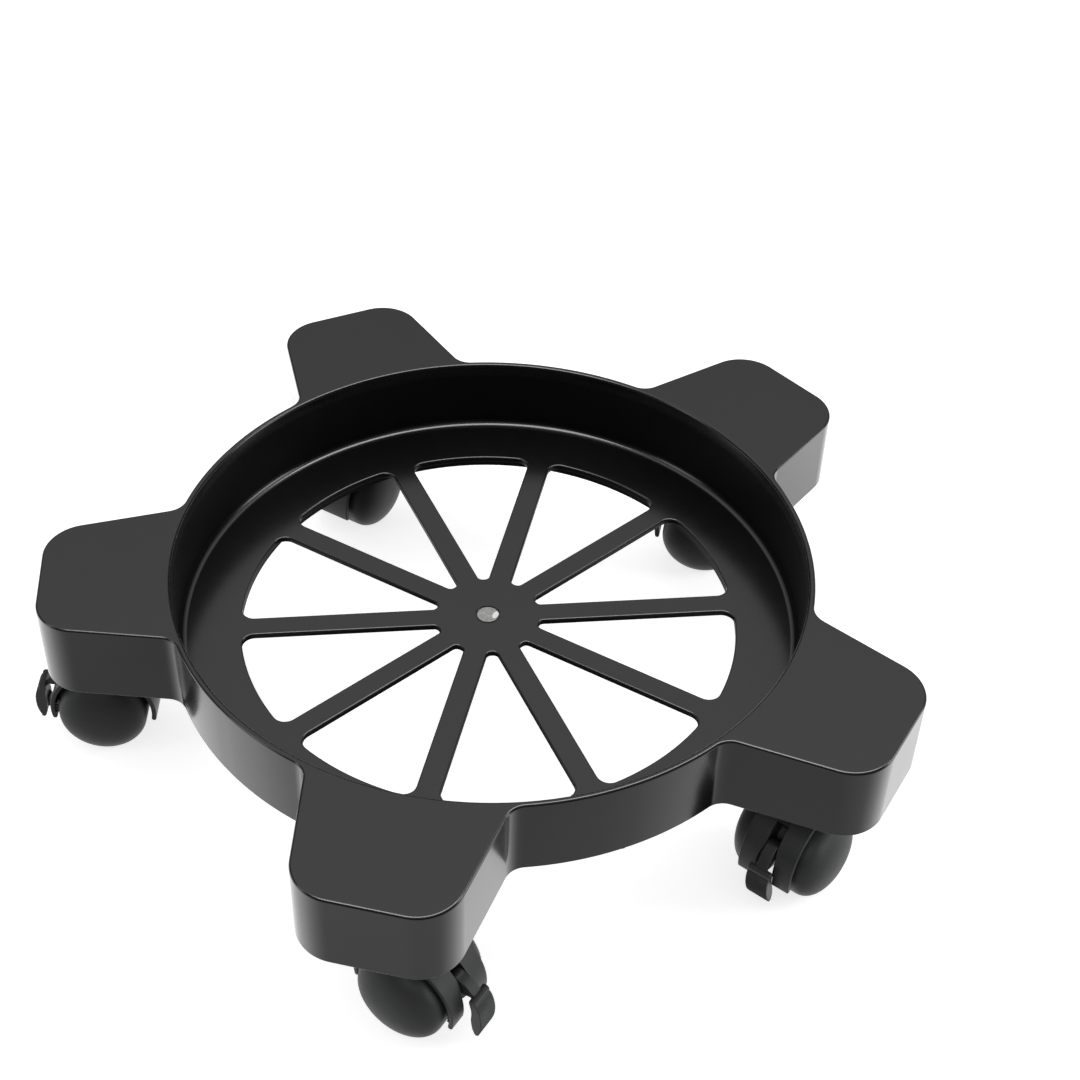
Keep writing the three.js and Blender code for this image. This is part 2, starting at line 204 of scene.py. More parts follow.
# ---------------------------------------------------------------- flat outlines
def arc(cx, cy, r, a0, a1, n):
    angles = [rad(a0 + (a1 - a0) * i / n) for i in range(n + 1)]
    return [(cx + r * math.cos(a), cy + r * math.sin(a)) for a in angles]


def circle(cx, cy, r, n):
    return arc(cx, cy, r, 0, 360 - 360 / n, n - 1)


def sector(r0, r1, a0, a1, n):
    return arc(0, 0, r1, a0, a1, n) + arc(0, 0, r0, a1, a0, n)


def mirrored(pts):
    return [(x, -y) for x, y in reversed(pts)]


def turned(pts, degrees):
    c, s = math.cos(rad(degrees)), math.sin(rad(degrees))
    return [(x * c - y * s, x * s + y * c) for x, y in pts]


def inset(pts, depth):
    """A closed outline moved inwards along its corner bisectors."""
    if not depth:
        return pts
    n = len(pts)
    area = sum(pts[i - 1][0] * pts[i][1] - pts[i][0] * pts[i - 1][1] for i in range(n))
    sign = 1 if area > 0 else -1
    out = []
    for i in range(n):
        (ax, ay), (bx, by), (cx, cy) = pts[i - 1], pts[i], pts[(i + 1) % n]
        ux, uy = bx - ax, by - ay
        vx, vy = cx - bx, cy - by
        u_len, v_len = math.hypot(ux, uy) or 1, math.hypot(vx, vy) or 1
        nx, ny = -uy / u_len * sign, ux / u_len * sign
        mx, my = nx + -vy / v_len * sign, ny + vx / v_len * sign
        m_len = math.hypot(mx, my)
        if m_len < 1e-6:
            out.append((bx, by))
            continue
        mx, my = mx / m_len, my / m_len
        # a sharp corner moves at most twice the depth
        reach = 1 / max(mx * nx + my * ny, 0.5)
        out.append((bx + mx * depth * reach, by + my * depth * reach))
    return out


def smooth(pts, n=4):
    """Catmull-Rom points through an open run of points."""
    out = []
    for i in range(len(pts) - 1):
        near = zip(pts[max(i - 1, 0)], pts[i], pts[i + 1], pts[min(i + 2, len(pts) - 1)])
        near = list(near)
        for k in range(n):
            t = k / n
            out.append(tuple(
                0.5 * ((2 * b) + (-a + c) * t + (2 * a - 5 * b + 4 * c - d) * t * t
                       + (-a + 3 * b - 3 * c + d) * t ** 3)
                for a, b, c, d in near))
    out.append(pts[-1])
    return out


def spaced(pts, count):
    """count + 1 rows evenly spaced along a line: x, y and the unit direction there."""
    length = [0.0]
    for p, q in zip(pts, pts[1:]):
        length.append(length[-1] + math.hypot(q[0] - p[0], q[1] - p[1]))
    rows = []
    for i in range(count + 1):
        s = length[-1] * i / count
        k = max(j for j in range(len(length)) if length[j] <= s + 1e-9)
        k = min(k, len(length) - 2)
        t = (s - length[k]) / (length[k + 1] - length[k])
        x, y = pts[k]
        dx, dy = pts[k + 1][0] - x, pts[k + 1][1] - y
        step = math.hypot(dx, dy)
        rows.append((x + dx * t, y + dy * t, dx / step, dy / step))
    return rows


# ---------------------------------------------------------------- bodies
def loft(rings):
    """Closed body through rings of equal length, capped at both ends."""
    n = len(rings[0])
    verts = [p for ring in rings for p in ring]
    faces = []
    for k in range(len(rings) - 1):
        for i in range(n):
            j = (i + 1) % n
            faces.append((k * n + i, k * n + j, (k + 1) * n + j, (k + 1) * n + i))
    faces.append(tuple(range(n - 1, -1, -1)))
    faces.append(tuple((len(rings) - 1) * n + i for i in range(n)))
    return solid(verts, faces)


AXIS_TURN = {
    "z": lambda x, y, z: (x, y, z),
    "y": lambda x, y, z: (x, z, -y),
    "-y": lambda x, y, z: (x, -z, y),
}


def lathe(profile, n, axis="z", at=(0, 0, 0)):
    """Turned body from (radius, height along the axis) points.

    The profile starts and ends on the axis, or closes on itself.
    """
    closed = profile[0] == profile[-1]
    pts = profile[:-1] if closed else profile
    verts, index = [], []
    for r, z in pts:
        if r <= 1e-9:
            index.append([len(verts)] * n)
            verts.append((0, 0, z))
        else:
            index.append(list(range(len(verts), len(verts) + n)))
            for i in range(n):
                a = 2 * math.pi * i / n
                verts.append((r * math.cos(a), r * math.sin(a), z))
    faces = []
    for k in range(len(pts) if closed else len(pts) - 1):
        p, q = index[k], index[(k + 1) % len(pts)]
        for i in range(n):
            j = (i + 1) % n
            # points on the axis coincide, which leaves a triangle
            face = tuple(dict.fromkeys((p[i], p[j], q[j], q[i])))
            if len(face) > 2:
                faces.append(face)
    turn = AXIS_TURN[axis]
    return solid([tuple(c + o for c, o in zip(turn(*v), at)) for v in verts], faces)


def cylinder(r, z0, z1, n):
    return lathe([(0, z0), (r, z0), (r, z1), (0, z1)], n)


def rod(r, half, bevel, n, at):
    """Bevelled pin across the caster."""
    return lathe([(0, -half), (r - bevel, -half), (r, -half + bevel),
                  (r, half - bevel), (r - bevel, half), (0, half)], n, axis="y", at=at)


def layers(lo, hi, edge, round_hi=True):
    """(position, inset) pairs of a prism with its rims rounded by edge."""
    if not edge:
        return [(lo, 0), (hi, 0)]
    steps = 3
    out = []
    for i in range(steps):
        t = math.pi / 2 * i / steps
        out.append((lo + edge * (1 - math.cos(t)), edge * (1 - math.sin(t))))
    out.append((lo + edge, 0.0))
    if not round_hi:
        return out + [(hi, 0.0)]
    for i in range(steps + 1):
        t = math.pi / 2 * i / steps
        out.append((hi - edge + edge * math.sin(t), edge * (1 - math.cos(t))))
    return out


def stack(shape, levels):
    """Upright body through the outlines shape(offset), levels being (height, offset)."""
    return loft([[(x, y, z) for x, y in shape(offset)] for z, offset in levels])


def slab(pts, z0, z1, edge, round_top=True):
    return stack(lambda depth: inset(pts, depth), layers(z0, z1, edge, round_top))


def bar(pts, half, edge=0.0, mid=0.0):
    """Prism across the caster from an outline in (along +X, up) about the axle."""
    return loft([[(TRAIL + u, mid + y, AXLE_Z + v) for u, v in inset(pts, depth)]
                 for y, depth in layers(-half, half, edge)])


# ---------------------------------------------------------------- shader nodes
def grey(value):
    return (value, value, value, 1)


class Shader:
    """Adds nodes to a tree. An input takes a plain value or another node's output."""

    def __init__(self, tree):
        self.tree = tree

    def feed(self, node, inputs):
        for key, value in inputs.items():
            if isinstance(value, bpy.types.NodeSocket):
                self.tree.links.new(value, node.inputs[key])
            else:
                node.inputs[key].default_value = value

    def add(self, kind, inputs={}, **settings):
        node = self.tree.nodes.new(kind)
        for key, value in settings.items():
            setattr(node, key, value)
        self.feed(node, inputs)
        return node

    def math(self, operation, a, b=None, clamp=False):
        inputs = {0: a} if b is None else {0: a, 1: b}
        node = self.add("ShaderNodeMath", inputs, operation=operation, use_clamp=clamp)
        return node.outputs[0]

    def plus(self, a, b):
        return self.math("ADD", a, b)

    def minus(self, a, b, clamp=False):
        return self.math("SUBTRACT", a, b, clamp)

    def times(self, a, b, clamp=False):
        return self.math("MULTIPLY", a, b, clamp)

    def square(self, a):
        return self.math("POWER", self.math("ABSOLUTE", a), 2.0)

    def length(self, x, y):
        return self.math("SQRT", self.plus(self.times(x, x), self.times(y, y)))

    def split(self, vector):
        return list(self.add("ShaderNodeSeparateXYZ", {0: vector}).outputs)

    def noise(self, at, scale, detail, rough):
        inputs = {"Vector": at, "Scale": scale, "Detail": detail, "Roughness": rough}
        return self.add("ShaderNodeTexNoise", inputs).outputs["Fac"]

    def ramp(self, value, start, end, low=0.0, high=1.0):
        """Runs from low to high while value runs from start to end."""
        inputs = {"Value": value, "From Min": start, "From Max": end,
                  "To Min": low, "To Max": high}
        return self.add("ShaderNodeMapRange", inputs, clamp=True).outputs[0]

    def spread(self, noise, low=0.0, high=1.0):
        """Stretches the middle band of a noise."""
        return self.ramp(noise, start=0.3, end=0.7, low=low, high=high)

    def mix_colour(self, share, a, b, blend="MIX"):
        inputs = {0: share, 6: a, 7: b}
        node = self.add("ShaderNodeMix", inputs, data_type="RGBA", blend_type=blend)
        return node.outputs[2]

    def mix_value(self, share, a, b):
        inputs = {0: share, 2: a, 3: b}
        return self.add("ShaderNodeMix", inputs, data_type="FLOAT").outputs[0]

    def coords(self):
        return self.add("ShaderNodeTexCoord").outputs["Object"]

    def geometry(self, output):
        return self.add("ShaderNodeNewGeometry").outputs[output]

    def camera_ray(self):
        return self.add("ShaderNodeLightPath").outputs["Is Camera Ray"]

    def edge_mask(self, radius):
        """1 on outer and inner edges of the shape, 0 on flats."""
        bevel = self.add("ShaderNodeBevel", {"Radius": radius}, samples=4)
        inputs = {0: bevel.outputs[0], 1: self.geometry("Normal")}
        dot = self.add("ShaderNodeVectorMath", inputs, operation="DOT_PRODUCT")
        away = self.minus(1.0, dot.outputs["Value"])
        return self.ramp(away, start=0.02, end=0.22)

    def surface(self, bsdf, colour, roughness, height, depth):
        bump = self.add("ShaderNodeBump", {"Distance": depth, "Height": height})
        self.feed(bsdf, {"Base Color": colour, "Roughness": roughness,
                         "Normal": bump.outputs[0]})


def new_material(name):
    material = bpy.data.materials.new(name)
    material.use_nodes = True
    material.node_tree.nodes.clear()
    sh = Shader(material.node_tree)
    out = sh.add("ShaderNodeOutputMaterial")
    bsdf = sh.add("ShaderNodeBsdfPrincipled")
    sh.feed(out, {0: bsdf.outputs[0]})
    return material, sh, bsdf


# ---------------------------------------------------------------- materials, lengths in metres
def recess_wall(sh, at, normal_z):
    """Mask of the upright wall of the recess."""
    x, y, _ = sh.split(at)
    within = sh.ramp(sh.length(x, y), start=(RIM_R - 0.05) * MM, end=(RIM_R - 0.2) * MM)
    upright = sh.minus(1.0, sh.ramp(normal_z, start=0.1, end=0.5))
    return sh.times(within, upright, clamp=True)


# painted highlight: the glint on the trimmed gate's slanted facet, painted near-white as an ellipse
# off the centre
PAINTED_GLINT_AT = (0.00335, -0.0004)
PAINTED_GLINT_TURN = 62
PAINTED_GLINT_HALF = (0.0024, 0.00125)


def gate_scar(sh, at, colour, roughness, height):
    """The trimmed gate in the middle of the hub: rough, whitened plastic, and a painted highlight on
    its cut facet.
    """
    x, y, z = sh.split(at)
    r = sh.math("SQRT", sh.plus(sh.square(x), sh.square(y)))
    # only the upper face of the floor, at about z = 0
    off_face = sh.math("ABSOLUTE", sh.minus(z, 0.0002))
    near = sh.math("LESS_THAN", off_face, 0.0016)
    disc = sh.times(sh.ramp(r, start=GATE_R * MM, end=(GATE_R - 0.15) * MM), near)
    torn = sh.noise(at, scale=520.0, detail=5.0, rough=0.7)
    whitened = sh.mix_colour(sh.ramp(torn, start=0.32, end=0.68),
                             (0.20, 0.20, 0.195, 1), (0.50, 0.50, 0.49, 1))
    colour = sh.mix_colour(disc, colour, whitened)

    fx, fy = sh.minus(x, PAINTED_GLINT_AT[0]), sh.minus(y, PAINTED_GLINT_AT[1])
    c, s = math.cos(rad(PAINTED_GLINT_TURN)), math.sin(rad(PAINTED_GLINT_TURN))
    along = sh.plus(sh.times(fx, c), sh.times(fy, s))
    across = sh.minus(sh.times(fy, c), sh.times(fx, s))
    ellipse = sh.plus(sh.square(sh.math("DIVIDE", along, PAINTED_GLINT_HALF[0])),
                      sh.square(sh.math("DIVIDE", across, PAINTED_GLINT_HALF[1])))
    # painted highlight: near-white colour where the slanted cut would mirror the light
    painted_glint = sh.times(sh.ramp(ellipse, start=1.05, end=0.9), near)
    colour = sh.mix_colour(painted_glint, colour, grey(0.9))
    roughness = sh.mix_value(disc, roughness, 0.55)
    # the torn face is 14 times as rough as the grain
    return colour, roughness, sh.plus(height, sh.times(sh.times(torn, disc), 14.0))


def plastic(name, base, lighter, rough_top, rough_side, grain_depth, grain_scale,
            specular, wear, gate=False, vary=1.0):
    """Moulded black plastic: grain, slow colour drift, rubbed edges and faint dust.

    vary scales the drift in roughness; gate adds the platform's own marks and a painted highlight on
    its gate.
    """
    material, sh, bsdf = new_material(name)
    at = sh.coords()
    normal_z = sh.split(sh.geometry("Normal"))[2]
    upward = sh.ramp(normal_z, start=0.55, end=0.95)

    slow = sh.noise(at, scale=14.0, detail=4.0, rough=0.6)
    mid = sh.noise(at, scale=120.0, detail=3.0, rough=0.6)
    fine = sh.noise(at, scale=grain_scale, detail=2.0, rough=0.6)
    finer = sh.noise(at, scale=grain_scale * 2.7, detail=1.0, rough=0.5)
    specks = sh.noise(at, scale=900.0, detail=2.0, rough=0.7)

    colour = sh.mix_colour(sh.spread(slow), base, lighter)
    # rubbed edges, broken up by the mid noise
    worn = sh.times(sh.edge_mask(radius=0.0009), sh.ramp(mid, start=0.42, end=0.62), clamp=True)
    worn = sh.times(worn, wear, clamp=True)
    rubbed = tuple(min(1, c * 3.2 + 0.012) for c in base[:3]) + (1,)
    colour = sh.mix_colour(worn, colour, rubbed)
    # faint dust on the flats
    dust_share = 0.05
    dust = sh.times(sh.ramp(specks, start=0.62, end=0.80), upward)
    dust = sh.times(dust, dust_share, clamp=True)
    colour = sh.mix_colour(dust, colour, (0.11, 0.105, 0.10, 1))

    roughness = sh.mix_value(upward, rough_side, rough_top)
    if gate:
        # the recess wall is grained; the skirt and the rolled edges are polished
        wall = recess_wall(sh, at, normal_z)
        wall_rough, wall_specular = 0.42, 0.12
        roughness = sh.mix_value(wall, roughness, wall_rough)
        specular = sh.mix_value(wall, specular, wall_specular)
    roughness = sh.plus(roughness, sh.spread(slow, low=-0.03 * vary, high=0.03 * vary))
    roughness = sh.plus(roughness, sh.spread(mid, low=-0.025 * vary, high=0.035 * vary))
    roughness = sh.plus(roughness, sh.spread(fine, low=-0.03 * vary, high=0.04 * vary))
    # rubbing polishes
    polish = 0.08
    roughness = sh.minus(roughness, sh.times(worn, polish), clamp=True)

    fine_share, finer_share = 1.0, 0.5
    height = sh.plus(sh.times(fine, fine_share), sh.times(finer, finer_share))
    if gate:
        colour, roughness, height = gate_scar(sh, at, colour, roughness, height)
    sh.surface(bsdf, colour, roughness, height, depth=grain_depth)
    sh.feed(bsdf, {"Specular IOR Level": specular, "IOR": 1.5})
    return material


def steel(name):
    """Bright zinc-plated steel: fine stretched lines and soft blotches."""
    material, sh, bsdf = new_material(name)
    at = sh.coords()
    stretched = sh.add("ShaderNodeMapping", {"Vector": at, "Scale": (1, 1, 26)}).outputs[0]
    lines = sh.noise(stretched, scale=190.0, detail=3.0, rough=0.6)
    blotch = sh.noise(at, scale=260.0, detail=3.0, rough=0.6)
    colour = sh.mix_colour(sh.spread(blotch), (0.50, 0.51, 0.52, 1), (0.66, 0.67, 0.68, 1))
    edge_share = 0.5
    edge = sh.times(sh.edge_mask(radius=0.0004), edge_share)
    colour = sh.mix_colour(edge, colour, grey(0.82))
    roughness = sh.plus(sh.spread(lines, low=0.20, high=0.34),
                        sh.spread(blotch, low=0.0, high=0.08))
    sh.surface(bsdf, colour, roughness, lines, depth=0.00002)
    sh.feed(bsdf, {"Metallic": 1.0})
    return material


FINISH = {
    "platform": plastic(
        "platform_plastic", base=(0.0028, 0.0028, 0.0030, 1), lighter=(0.0044, 0.0044, 0.0046, 1),
        rough_top=0.20, rough_side=0.16, grain_depth=0.000003, grain_scale=1500.0,
        specular=0.5, wear=0.3, gate=True, vary=0.4),
    "caster_body": plastic(
        "caster_plastic", base=(0.0145, 0.0158, 0.0150, 1), lighter=(0.0205, 0.0220, 0.0212, 1),
        rough_top=0.50, rough_side=0.46, grain_depth=0.000012, grain_scale=2200.0,
        specular=0.27, wear=0.5),
    "wheel": plastic(
        "wheel_plastic", base=(0.0128, 0.0142, 0.0134, 1), lighter=(0.0172, 0.0188, 0.0180, 1),
        rough_top=0.54, rough_side=0.52, grain_depth=0.00001, grain_scale=1900.0,
        specular=0.25, wear=0.35),
    "steel": steel("zinc_steel"),
}
SHARP_ANGLE = 32


def dress(ob, name, node, body, slot):
    """Sets a finished mesh down in the frame, in metres, smooth except at real edges."""
    me = ob.data
    me.transform(Matrix.Scale(MM, 4) @ Matrix.Translation((0, 0, -SEAT_Z)))
    bm = bmesh.new()
    bm.from_mesh(me)
    bmesh.ops.remove_doubles(bm, verts=bm.verts, dist=2e-7)
    bmesh.ops.dissolve_degenerate(bm, edges=bm.edges, dist=2e-7)
    bmesh.ops.recalc_face_normals(bm, faces=bm.faces)
    for f in bm.faces:
        f.smooth = True
    for e in bm.edges:
        e.smooth = len(e.link_faces) == 2 and e.calc_face_angle(0) < rad(SHARP_ANGLE)
    bm.to_mesh(me)
    bm.free()
    me.materials.clear()
    me.materials.append(FINISH[slot])
    ob.name = name
    me.name = name
    normals = ob.modifiers.new("normals", "WEIGHTED_NORMAL")
    normals.mode = "FACE_AREA"
    normals.weight = 50
    normals.keep_sharp = True
    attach(ob, body)
    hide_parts(node)
    return ob


# ---------------------------------------------------------------- platform
def arm_sector(grow):
    """Outline of one fifth of the platform, its arm along +X."""
    sn, cs = math.sin(rad(ARM_FLARE)), math.cos(rad(ARM_FLARE))
    # distance of the arm's side line from the centre
    side = TIP_R * sn + TIP_HALF_W * cs
    off = side + ROOT_FILLET_R
    along = math.sqrt((RING_R + ROOT_FILLET_R) ** 2 - off * off)
    fx, fy = off * sn + along * cs, off * cs - along * sn
    root = math.degrees(math.atan2(fy, fx))
    cx = TIP_R - TIP_CORNER_R
    cy = (side - TIP_CORNER_R - cx * sn) / cs
    corner = arc(cx, cy, TIP_CORNER_R + grow, 0, 90 - ARM_FLARE, 20)
    fillet = arc(fx, fy, ROOT_FILLET_R - grow, 270 - ARM_FLARE, 180 + root, 12)
    ring = arc(0, 0, RING_R + grow, root, 36, 12)
    half = corner + fillet[:-1] + ring[:-1]
    return mirrored(half) + half


def outline(grow):
    return [p for k in range(5) for p in turned(arm_sector(grow), 72 * k + ARM_ANGLES[0])]


def window_shape(grow):
    """Outline of the window along +X, between spokes at -18 and +18 degrees."""
    sn, cs = math.sin(rad(18)), math.cos(rad(18))

    def corner_centre(reach, off):
        """Centre of a corner, its angle as well, at off from the spoke's middle line."""
        along = math.sqrt(reach ** 2 - off ** 2)
        x, y = cs * along + sn * off, sn * along - cs * off
        return x, y, math.degrees(math.atan2(y, x))

    half = SPOKE_W / 2 - grow
    outer, hub = WINDOW_R + grow, HUB_R - grow
    r_out, r_in = WINDOW_CORNER_OUT + grow, WINDOW_CORNER_IN + grow
    x1, y1, a1 = corner_centre(outer - r_out, half + r_out)
    x0, y0, a0 = corner_centre(hub + r_in, half + r_in)
    upper = arc(0, 0, outer, 0, a1, 12)[:-1]
    upper += arc(x1, y1, r_out, a1, 108, 10) + arc(x0, y0, r_in, 108, 180 + a0, 10)
    return upper + mirrored(upper[1:])


def make_shell():
    """Outer body, its arms hollow from below, with the recess sunk in the top."""
    levels = []
    for i in range(4):
        t = math.pi / 2 * i / 3
        levels.append((SKIRT_Z + EASE * (1 - math.cos(t)), -EASE * (1 - math.sin(t))))
    for i in range(7):
        t = math.pi / 2 * i / 6
        levels.append((TOP_Z - EDGE_R + EDGE_R * math.sin(t), -EDGE_R * (1 - math.cos(t))))
    body = stack(outline, levels)

    ceiling = TOP_Z - SKIN_T
    hollow = stack(outline, (
        (SKIRT_Z - 5, -WALL_T), (ceiling - 1.5, -WALL_T),
        (ceiling - 0.4, -WALL_T - 0.45), (ceiling, -WALL_T - 1.5)))
    body = cut(body, cut(hollow, cylinder(RING_R, SKIRT_Z - 10, TOP_Z, 240)))
    under = SEAT_Z - FLOOR_T
    body = cut(body, lathe([
        (0, SKIRT_Z - 5), (FOOT_R + 0.4, SKIRT_Z - 5), (FOOT_R + 0.4, under - 1),
        (FOOT_R - 0.6, under), (0, under)], 240))

    # recess: filleted foot, slightly drafted wall, rounded rim
    foot = [(FOOT_R - FOOT_FILLET_R + FOOT_FILLET_R * math.cos(rad(a)),
             SEAT_Z + FOOT_FILLET_R + FOOT_FILLET_R * math.sin(rad(a)))
            for a in (-90, -78, -66, -54, -42, -30, -18, -8, 0)]
    rim = [(RIM_R + EDGE_R - EDGE_R * math.cos(rad(a)),
            TOP_Z - EDGE_R + EDGE_R * math.sin(rad(a))) for a in range(0, 91, 15)]
    top = [(RIM_R + EDGE_R, TOP_Z + 5), (0, TOP_Z + 5)]
    return cut(body, lathe([(0, SEAT_Z)] + foot + rim + top, 240))


def add_floor_and_ribs(body):
    # thicker hub and spokes, and the floor ring down to its full thickness
    inside = FLANGE_R - 1
    body = fuse(body, lathe([
        (0, SEAT_Z - SPOKE_T), (inside, SEAT_Z - SPOKE_T), (inside, SEAT_Z - FLOOR_T),
        (FOOT_R, SEAT_Z - FLOOR_T), (FOOT_R, SEAT_Z - 0.8), (0, SEAT_Z - 0.8)], 240))
    # twenty radial ribs under the floor, from the flange to the skirt
    end = RING_R - 0.6
    side = [(inside, RIB_Z), (127, RIB_Z), (end, SKIRT_Z - 0.8),
            (end, SEAT_Z - 1), (inside, SEAT_Z - 1)]
    half, edge = RIB_T / 2, 0.25
    levels = ((-half, edge), (-half + edge, 0.0), (half - edge, 0.0), (half, edge))
    for k in range(20):
        rib = loft([[(x, y, z) for x, z in inset(side, depth)] for y, depth in levels])
        body = fuse(body, rotate(rib, 18 * k))
    return body


def cut_windows(body):
    """Ten windows with rounded upper and lower edges, and the flange round them."""
    edge = WINDOW_EDGE_R
    low = SEAT_Z - SPOKE_T
    angles = (18, 36, 54, 72, 86)
    curve = [(edge * math.sin(rad(a)), edge * (1 - math.cos(rad(a)))) for a in angles]
    levels = [(low - 0.6, edge + 0.02)]
    levels += [(low + edge - rise, grow) for rise, grow in reversed(curve)]
    levels += [(low + edge, 0.0), (SEAT_Z - edge, 0.0)]
    levels += [(SEAT_Z - edge + rise, grow) for rise, grow in curve]
    levels += [(SEAT_Z + 0.6, edge + 0.02)]
    body = cut(body, join([
        stack(lambda grow: turned(window_shape(grow), 18 + 36 * k), levels)
        for k in range(10)]))
    return fuse(body, lathe([
        (FLANGE_IN_R, RIB_Z), (FLANGE_R - 0.3, RIB_Z), (FLANGE_R, RIB_Z + 0.3),
        (FLANGE_R, SEAT_Z - 1), (FLANGE_IN_R, SEAT_Z - 1), (FLANGE_IN_R, RIB_Z)], 240))


def add_sockets(body):
    """A bored boss in each arm, with cross webs to the skirt."""
    at = (STEM_AT, 0, 0)
    half = TIP_HALF_W + (TIP_R - STEM_AT) * math.tan(rad(ARM_FLARE)) - 1
    ceiling = TOP_Z - 1
    web_spans = (  # x0, x1, half width
        (RING_R - 1, TIP_R - 1, 1),
        (STEM_AT - 1, STEM_AT + 1, half),
    )
    for arm in ARM_ANGLES:
        parts = [lathe([(0, SKIRT_Z), (BOSS_R - EASE, SKIRT_Z), (BOSS_R, SKIRT_Z + EASE),
                        (BOSS_R, ceiling), (0, ceiling)], 64, at=at)]
        for x0, x1, w in web_spans:
            parts.append(slab([(x0, -w), (x1, -w), (x1, w), (x0, w)],
                              SKIRT_Z + 8, ceiling, 0.3, round_top=False))
        for part in parts:
            body = fuse(body, rotate(part, arm))
        bore = lathe([
            (0, SKIRT_Z - 5), (SOCKET_R + 0.6, SKIRT_Z - 5), (SOCKET_R + 0.6, SKIRT_Z),
            (SOCKET_R, SKIRT_Z + 0.6), (SOCKET_R, TOP_Z - 6.6),
            (SOCKET_R - 0.6, TOP_Z - 6), (0, TOP_Z - 6)], 48, at=at)
        body = cut(body, rotate(bore, arm))
    return body


def cut_gate_groove(body):
    r0, r1 = GATE_R, GATE_R + GATE_GROOVE
    return cut(body, lathe([
        (r0, SEAT_Z + 1), (r0, SEAT_Z - 0.35), (r0 + 0.15, SEAT_Z - GATE_H),
        (r1 - 0.15, SEAT_Z - GATE_H), (r1, SEAT_Z - 0.35), (r1, SEAT_Z + 1),
        (r0, SEAT_Z + 1)], 72))


platform = add_sockets(cut_windows(add_floor_and_ribs(make_shell())))
platform = cut_gate_groove(platform)
dress(platform, "platform_moulding", "platform", "platform", "platform")


# ---------------------------------------------------------------- caster pieces, stem on the Z axis,
# wheels trailing towards +X
def make_wheel(side):
    """Domed wheel, hollow from its inner face, on the +Y or -Y side."""
    dome = []
    for i in range(45):
        a = math.pi / 2 * i / 44
        dome.append((WHEEL_R * math.cos(a) ** (2 / DOME_POWER),
                     RIM_HALF + DOME_H * math.sin(a) ** (2 / DOME_POWER)))
    curve = [(r, y) for r, y, _, _ in spaced(dome, 36)]
    curve[-1] = (0, curve[-1][1])
    well = WHEEL_R - 3
    inner = [  # radius, distance from the mid plane
        (0, 18.6), (AXLE_BORE, 18.6), (AXLE_BORE, WHEEL_IN + 0.3), (AXLE_BORE + 0.3, WHEEL_IN),
        (4.9, WHEEL_IN), (5.2, WHEEL_IN + 0.3), (5.2, 17.2), (5.6, 17.9), (6.4, 18),
        (10.6, 17.1), (14.6, 14.4), (well - 0.2, 12.4), (well, 11.6),
        (well, WHEEL_IN + 0.3), (well + 0.3, WHEEL_IN), (WHEEL_R - 0.5, WHEEL_IN),
        (WHEEL_R - 0.15, WHEEL_IN + 0.15), (WHEEL_R, WHEEL_IN + 0.5),
    ]
    wheel = lathe(inner + curve, 112, axis="-y", at=AXLE_AT)
    if side > 0:
        rotate(wheel, 180, "X", AXLE_AT)
    return wheel


def make_axle():
    return rod(AXLE_R, 18.0, 0.5, 40, AXLE_AT)


def make_pin():
    return rod(PIN_R, WEB_HALF - 0.1, 0.25, 28, PIVOT_AT)


NECK_LEVELS = (  # height above the axle, added radius, depth of the fine ribs
    (12, 0.0, 0.0),
    (22.0, 0.8, 0.0),
    (23.0, 0.25, 0.35),
    (23.8, 0.0, 0.45),
    (NECK_TOP - 0.9, 0.0, 0.45),
    (NECK_TOP - 0.3, -0.3, 0.2),
    (NECK_TOP, -0.7, 0.0),
)


def make_neck():
    """Neck with 18 fine ribs, flared at its foot and kept out of the wheels' room."""
    rings = []
    for rise, extra, depth in NECK_LEVELS:
        ring = []
        for i in range(90):
            r = NECK_R + extra - depth * (0.5 - 0.5 * math.cos(2 * math.pi * i / 5))
            a = 2 * math.pi * i / 90
            ring.append((r * math.cos(a), r * math.sin(a), AXLE_Z + rise))
        rings.append(ring)
    room = bar(circle(0, 0, WHEEL_R + 0.8, 120), 40)
    room = cut(room, bar([(-30, -30), (30, -30), (30, 40), (-30, 40)], WEB_HALF))
    return cut(loft(rings), room)


def cut_lever_slot(hood, inner_r):
    hood = cut(hood, bar(sector(36, SLOT_R, SLOT_TOP, SLOT_LOW, 24), SLOT_HALF))
    # the slot widens towards the +X lip, through the band only
    edge = smooth([(-SLOT_HALF + 0.3, 24), (-SLOT_HALF, 13.5), (-WEB_HALF, 5),
                   (-WEB_HALF, -16)], 5)
    opening = edge + [(-y, v) for y, v in reversed(edge)]
    wedge = loft([[(TRAIL + u, y, AXLE_Z + v) for y, v in opening] for u in (8, 38)])
    wedge = cut(wedge, bar(circle(0, 0, inner_r - 0.3, 120), 40))
    hood = cut(hood, wedge)
    return cut(hood, bar(circle(*PIVOT, PIN_BORE, 24), 20))


